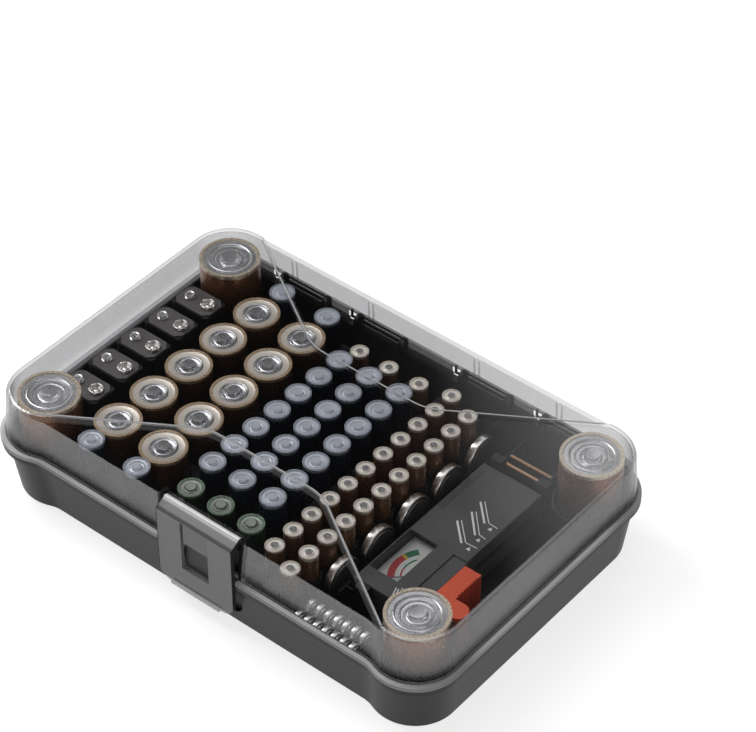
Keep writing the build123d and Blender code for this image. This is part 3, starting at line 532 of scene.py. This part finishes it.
def build_snaps():
    """Nine-volt terminals: a waisted stud and a six-leaved socket on each cell."""
    lo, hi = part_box("nine_volt_terminals")
    rows = sorted({round(p.y, 5) for p in feet("nine_volt_tops")})
    stud_x = lo.x + STUD_R * MM
    socket_x = lo.x + hi.x - stud_x - SOCKET_INSET * MM
    stud = turn([(0, 0), (STUD_R, 0), (STUD_R, 0.3), (2.45, 0.45), (2.3, 0.8), (2.35, 1.3), (2.75, 1.65),
                 (2.85, 1.9), (2.7, 2.15), (2.3, 2.2), (1.9, 2.1), (1.5, 1.75), (0, 1.7)], 32)
    repeat(stud, [(stud_x, y, lo.z) for y in rows])
    studs = piece("snap_studs", stud, "case", [snap_silver])
    socket = bmesh.new()
    for k in range(LEAVES):
        block(socket, *LEAF, turned=math.radians(360 / LEAVES * (k + 0.5)))
    soften(socket, LEAF_ROUND)
    floor = turn([(0, 0), (3.9, 0), (3.9, 0.3), (1.4, 0.35), (1.1, 0.6), (0.6, 0.75), (0, 0.75)], 24)
    flat = bpy.data.meshes.new("socket_floor")
    floor.to_mesh(flat)
    floor.free()
    socket.from_mesh(flat)
    repeat(socket, [(socket_x, y, lo.z) for y in rows])
    sockets = piece("snap_sockets", socket, "case", [snap_silver])
    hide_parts("nine_volt_terminals")
    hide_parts("nine_volt_terminals")


def lying_disc(profile, steps, places, gasket):
    """A cell on edge: its profile is spun, then laid with its axis along X. gasket: its two radii."""
    bm = turn(profile, steps)
    for f in bm.faces:
        on_top = f.calc_center_median().z > 0
        f.material_index = 1 if on_top and gasket[0] < face_radius(f) < gasket[1] else 0
    bmesh.ops.rotate(bm, verts=bm.verts, cent=(0, 0, 0), matrix=Matrix.Rotation(math.radians(90), 3, "Y"))
    return repeat(bm, places)


def build_disc_cells():
    coins = [p + Vector((0, 0, COIN_R * MM)) for p in feet("coin_cells")]
    coin = [(0, -2.5), (11.5, -2.5), (11.95, -2.35), (12.2, -2.0), (COIN_R, -1.6), (COIN_R, 1.1),
            (12.15, 1.6), (11.8, 1.95), (11.3, 2.05), (10.9, 1.9), (10.4, 1.9), (10.3, 2.3), (10.0, 2.48),
            (9.6, 2.5), (0, 2.5)]
    bm = lying_disc(coin, 72, coins, (10.3, 11.3))
    cases = piece("coin_cell_cases", bm, "case", [coin_steel, gasket_black])
    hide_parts("coin_cells")
    buttons = [p + Vector((0, 0, BUTTON_R * MM)) for p in feet("button_cells")]
    button = [(0, -1.8), (4.3, -1.8), (4.65, -1.65), (BUTTON_R, -1.3), (BUTTON_R, 0.7), (4.6, 1.0),
              (4.2, 1.1), (3.8, 1.0), (3.55, 1.1), (3.5, 1.55), (3.2, 1.8), (0, 1.8)]
    bm = lying_disc(button, 40, buttons, (3.6, 4.2))
    cases = piece("button_cell_cases", bm, "case", [button_steel, gasket_black])
    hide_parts("button_cells")


# ------------------------------------------------------------------ tester prints
FACE_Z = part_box("tester_front")[1].z / MM
DIAL_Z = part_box("dial_plate")[1].z / MM
INK = 0.05                    # how far a print stands up
DIAL = (90.0, -20.3)          # the needle's pivot
THIN, HATCH, BOLD, TRIANGLE = 0.5, 0.6, 1.1, 2.2
LEAD = 1.6                    # how far the bold line stands off a thin one
ARROWS = (                    # the thin line's three points, and the triangle under its end
    ((83.0, 37.2), (94.4, 25.9), (100.3, 25.6), (97.8, 23.0)),
    ((84.0, 28.4), (95.9, 16.0), (100.3, 15.6), (97.8, 12.8)),
    ((82.1, 18.5), (93.9, 7.1), (100.8, 7.5), (97.8, 4.6)))
OUTER, INNER = (16.5, 20.5), (12.9, 13.9)
BANDS = (                     # piece, finish, and for each arc its radii, its start and its end in degrees
    ("dial_band_red", ink_red, ((*OUTER, 168, 218), (*INNER, 190, 215))),
    ("dial_band_yellow", ink_yellow, ((*OUTER, 163, 168),)),
    ("dial_band_green", ink_green, ((*OUTER, 141, 163), (*INNER, 150, 190))))
RIBS, RIB_Y, RIB_PITCH, RIB_HALF, RIB_X = 26, 19.5, 1.45, 0.32, (66.0, 69.4)
RIB_SUNK, RIB_HIGH, RIB_ROUND = 0.1, 0.28, 0.12


def ink_line(bm, a, b, wide, z):
    run = math.dist(a, b)
    block(bm, (a[0], a[1] - wide / 2, z), (a[0] + run, a[1] + wide / 2, z + INK),
          turned=math.atan2(b[1] - a[1], b[0] - a[0]), about=a)


def ink_triangle(bm, x, y, size, z):
    painted_shade_zones = [bm.verts.new(((x + dx * size) * MM, (y + dy * size) * MM, z * MM))
               for dx, dy in ((-0.6, -0.5), (0.6, -0.5), (0.0, 0.6))]
    top = bmesh.ops.extrude_face_region(bm, geom=[bm.faces.new(painted_shade_zones)])["geom"]
    shift(bm, top, (0, 0, INK * MM))


def ink_arc(bm, r0, r1, start, end, z):
    """A band between two radii round the needle's pivot, from start to end degrees."""
    a = math.radians(start)
    ends = [bm.verts.new(((DIAL[0] + r * math.cos(a)) * MM, (DIAL[1] + r * math.sin(a)) * MM, z * MM))
            for r in (r0, r1)]
    edge = bm.edges.new(ends)
    bmesh.ops.spin(bm, geom=ends + [edge], cent=(DIAL[0] * MM, DIAL[1] * MM, z * MM), axis=(0, 0, 1),
                   dvec=(0, 0, 0), angle=math.radians(end - start), steps=max(3, round(abs(end - start) / 4)))


def build_marks():
    """The lines and triangles on the tester's face."""
    marks = bmesh.new()
    for first, bend, last, triangle in ARROWS:
        ink_line(marks, first, bend, THIN, FACE_Z)
        ink_line(marks, bend, last, THIN, FACE_Z)
        ink_line(marks, (first[0] - LEAD, first[1] - LEAD), (bend[0] - LEAD, bend[1] - LEAD), BOLD, FACE_Z)
        ink_triangle(marks, *triangle, TRIANGLE, FACE_Z)
    ink_line(marks, (88.5, -39.1), (102.8, -39.1), THIN, FACE_Z)
    ink_line(marks, (97.4, -39.1), (97.4, -45.9), THIN, FACE_Z)
    ink_triangle(marks, 93.9, -45.0, TRIANGLE, FACE_Z)
    ink_triangle(marks, 112.2, -45.0, TRIANGLE, FACE_Z)
    for k in range(4):
        ink_line(marks, (86.4 + 1.5 * k, -40.4), (88.0 + 1.5 * k, -45.6), HATCH, FACE_Z)
    bmesh.ops.recalc_face_normals(marks, faces=marks.faces)
    piece("tester_marks", marks, "tester", [print_white])


def build_grip():
    """The fine ribs along the tester's edge."""
    grip = bmesh.new()
    for k in range(RIBS):
        y = RIB_Y + RIB_PITCH * k
        block(grip, (RIB_X[0], y - RIB_HALF, FACE_Z - RIB_SUNK), (RIB_X[1], y + RIB_HALF, FACE_Z + RIB_HIGH))
    soften(grip, RIB_ROUND, 1)
    piece("tester_grip_ribs", grip, "tester", [tester_grey])


def build_dial_bands():
    for name, mat, arcs in BANDS:
        bm = bmesh.new()
        for r0, r1, start, end in arcs:
            ink_arc(bm, r0, r1, start, end, DIAL_Z + INK)
        bmesh.ops.recalc_face_normals(bm, faces=bm.faces)
        for f in bm.faces:
            if f.normal.z < 0:
                f.normal_flip()
        piece(name, bm, "tester", [mat])


# ------------------------------------------------------------------ lid and latch
CREASE_FAR, CREASE_LOW = (118.5, 92.0), 41.5      # where a crease starts, and how near the middle it comes
CREASE_ARC, CREASE_R = (29.89, 72.0), 30.5        # centre and radius of its bend
CREASE_TURN, CREASE_STEPS = 57.7, 6               # where the bend starts, in degrees below the X axis
CREASE_HALF, CREASE_Z, CREASE_TOP = 0.42, 65.72, 65.97
PANE, PANE_ROUND = ((-7.9, -97.0, 44.4), (9.1, -95.6, 58.3)), 0.2


def crease_path():
    """Plan points along one crease, from the right end to the left end."""
    half = [CREASE_FAR]
    for k in range(CREASE_STEPS):
        a = math.radians(-CREASE_TURN - (90 - CREASE_TURN) * k / CREASE_STEPS)
        half.append((CREASE_ARC[0] + CREASE_R * math.cos(a), CREASE_ARC[1] + CREASE_R * math.sin(a)))
    half.append((CREASE_ARC[0], CREASE_LOW))
    return half + [(-x, y) for x, y in reversed(half)]


def build_creases():
    """A painted highlight: the line of light along the top edge of the lid's two lowered panels, drawn as a
    flat light-grey strip, made thick.
    """
    path = crease_path()
    bm = bmesh.new()
    for sign in (1, -1):
        rails = []
        for side in (-CREASE_HALF, CREASE_HALF):
            rail = []
            for k, (x, y) in enumerate(path):
                before, after = path[max(k - 1, 0)], path[min(k + 1, len(path) - 1)]
                run = Vector((after[0] - before[0], after[1] - before[1])).normalized()
                place = ((x - run.y * side) * MM, sign * (y + run.x * side) * MM, CREASE_Z * MM)
                rail.append(bm.verts.new(place))
            rails += [bm.edges.new(pair) for pair in zip(rail, rail[1:])]
        strip = bmesh.ops.bridge_loops(bm, edges=rails)["faces"]
        top = bmesh.ops.extrude_face_region(bm, geom=strip)["geom"]
        shift(bm, top, (0, 0, (CREASE_TOP - CREASE_Z) * MM))
    bmesh.ops.recalc_face_normals(bm, faces=bm.faces)
    piece("crease_lines", bm, "lid", [crease_light])


def build_latch_pane():
    """The thinner pane that closes the latch's window above the tray's lug."""
    bm = bmesh.new()
    block(bm, *PANE)
    soften(bm, PANE_ROUND, 1)
    piece("latch_pane", bm, "latch", [pane_smoke])


build_cells()
build_snaps()
build_disc_cells()
build_marks()
build_grip()
build_dial_bands()
build_creases()
build_latch_pane()


# ------------------------------------------------------------------ stage
FLOOR_HALF, FLOOR_GREY, FLOOR_LIFT = 6.0, 0.36, 0.75      # metres, diffuse grey, light it adds when seen
SOFTBOX = (-0.25, 0.76, 0.60)      # direction of the small bright softbox in the dark gap high at the back
WALLS = [(-1.0, 0.21), (0.70, 0.24), (0.90, 0.02), (0.955, 0.01),      # pale walls, then the dark gap,
         (0.965, 0.05), (0.973, 0.8), (1.0, 1.0)]                      # then the softbox
WALL_STRENGTH = 1.5
CAMERA_PLACE, CAMERA_TARGET = (0.7239, -0.8313, 1.0991), (-0.0266, 0.0823, 0.0300)
CAMERA_LENS, CAMERA_SENSOR = 137.67, 36.0
LAMPS = (                     # name, place, what it points at, width and height, watts
    ("left_high", (-0.95, -0.05, 1.15), (0, 0, 0.03), (0.8, 0.8), 15.0),
    ("overhead", (-0.30, 0.30, 1.45), (0, 0, 0), (1.0, 0.9), 5.0),
    ("front_right", (1.5, -0.9, 0.6), (0, 0, 0.03), (0.9, 0.7), 5.0))


def aimed(name, data, place, target):
    """An object that looks from its place at a target."""
    obj = bpy.data.objects.new(name, data)
    obj.location = place
    obj.rotation_euler = (Vector(target) - Vector(place)).to_track_quat("-Z", "Y").to_euler()
    bpy.context.scene.collection.objects.link(obj)
    return obj


def build_floor():
    bm = bmesh.new()
    bmesh.ops.create_grid(bm, x_segments=1, y_segments=1, size=FLOOR_HALF)
    mesh = bpy.data.meshes.new("floor")
    bm.to_mesh(mesh)
    bm.free()
    obj = bpy.data.objects.new("floor", mesh)
    bpy.context.scene.collection.objects.link(obj)
    mat, nt, out = new_material("floor_white")
    white = nt.nodes.new("ShaderNodeBsdfDiffuse")
    white.inputs["Color"].default_value = (FLOOR_GREY, FLOOR_GREY, FLOOR_GREY, 1)
    lift = nt.nodes.new("ShaderNodeEmission")
    path = nt.nodes.new("ShaderNodeLightPath")
    seen = math_node(nt, "MAXIMUM", path.outputs["Is Camera Ray"], path.outputs["Is Transmission Ray"])
    seen = math_node(nt, "MAXIMUM", seen, path.outputs["Is Glossy Ray"])
    link(nt, product(nt, seen, FLOOR_LIFT), lift.inputs["Strength"])
    both = nt.nodes.new("ShaderNodeAddShader")
    link(nt, white.outputs[0], both.inputs[0])
    link(nt, lift.outputs[0], both.inputs[1])
    link(nt, both.outputs[0], out.inputs["Surface"])
    mesh.materials.append(mat)


def area_lamp(name, place, target, size, watts):
    lamp = bpy.data.lights.new(name, "AREA")
    lamp.shape = "RECTANGLE"
    lamp.size, lamp.size_y = size
    lamp.energy = watts
    aimed(name, lamp, place, target)


def build_world():
    """Pale walls all round, and high at the back a dark gap with one small softbox in it. The camera
    itself sees plain white."""
    world = bpy.data.worlds.new("studio")
    bpy.context.scene.world = world
    world.use_nodes = True
    nt = world.node_tree
    nt.nodes.clear()
    out = nt.nodes.new("ShaderNodeOutputWorld")
    path = nt.nodes.new("ShaderNodeLightPath")
    gap = nt.nodes.new("ShaderNodeVectorMath")
    gap.operation = "DOT_PRODUCT"
    link(nt, nt.nodes.new("ShaderNodeTexCoord").outputs["Generated"], gap.inputs[0])
    gap.inputs[1].default_value = SOFTBOX
    air = nt.nodes.new("ShaderNodeBackground")
    link(nt, steps_of(nt, gap.outputs["Value"], WALLS), air.inputs["Color"])
    air.inputs["Strength"].default_value = WALL_STRENGTH
    backdrop = nt.nodes.new("ShaderNodeBackground")
    backdrop.inputs["Color"].default_value = (1, 1, 1, 1)
    mixed = mix_shaders(nt, path.outputs["Is Camera Ray"], air.outputs[0], backdrop.outputs[0])
    link(nt, mixed, out.inputs["Surface"])


def build_camera():
    cam = bpy.data.cameras.new("view")
    cam.lens = CAMERA_LENS
    cam.sensor_width = CAMERA_SENSOR
    bpy.context.scene.camera = aimed("view", cam, CAMERA_PLACE, CAMERA_TARGET)


build_floor()
build_world()
build_camera()
for lamp in LAMPS:
    area_lamp(*lamp)
bpy.context.scene.view_settings.view_transform = "Standard"
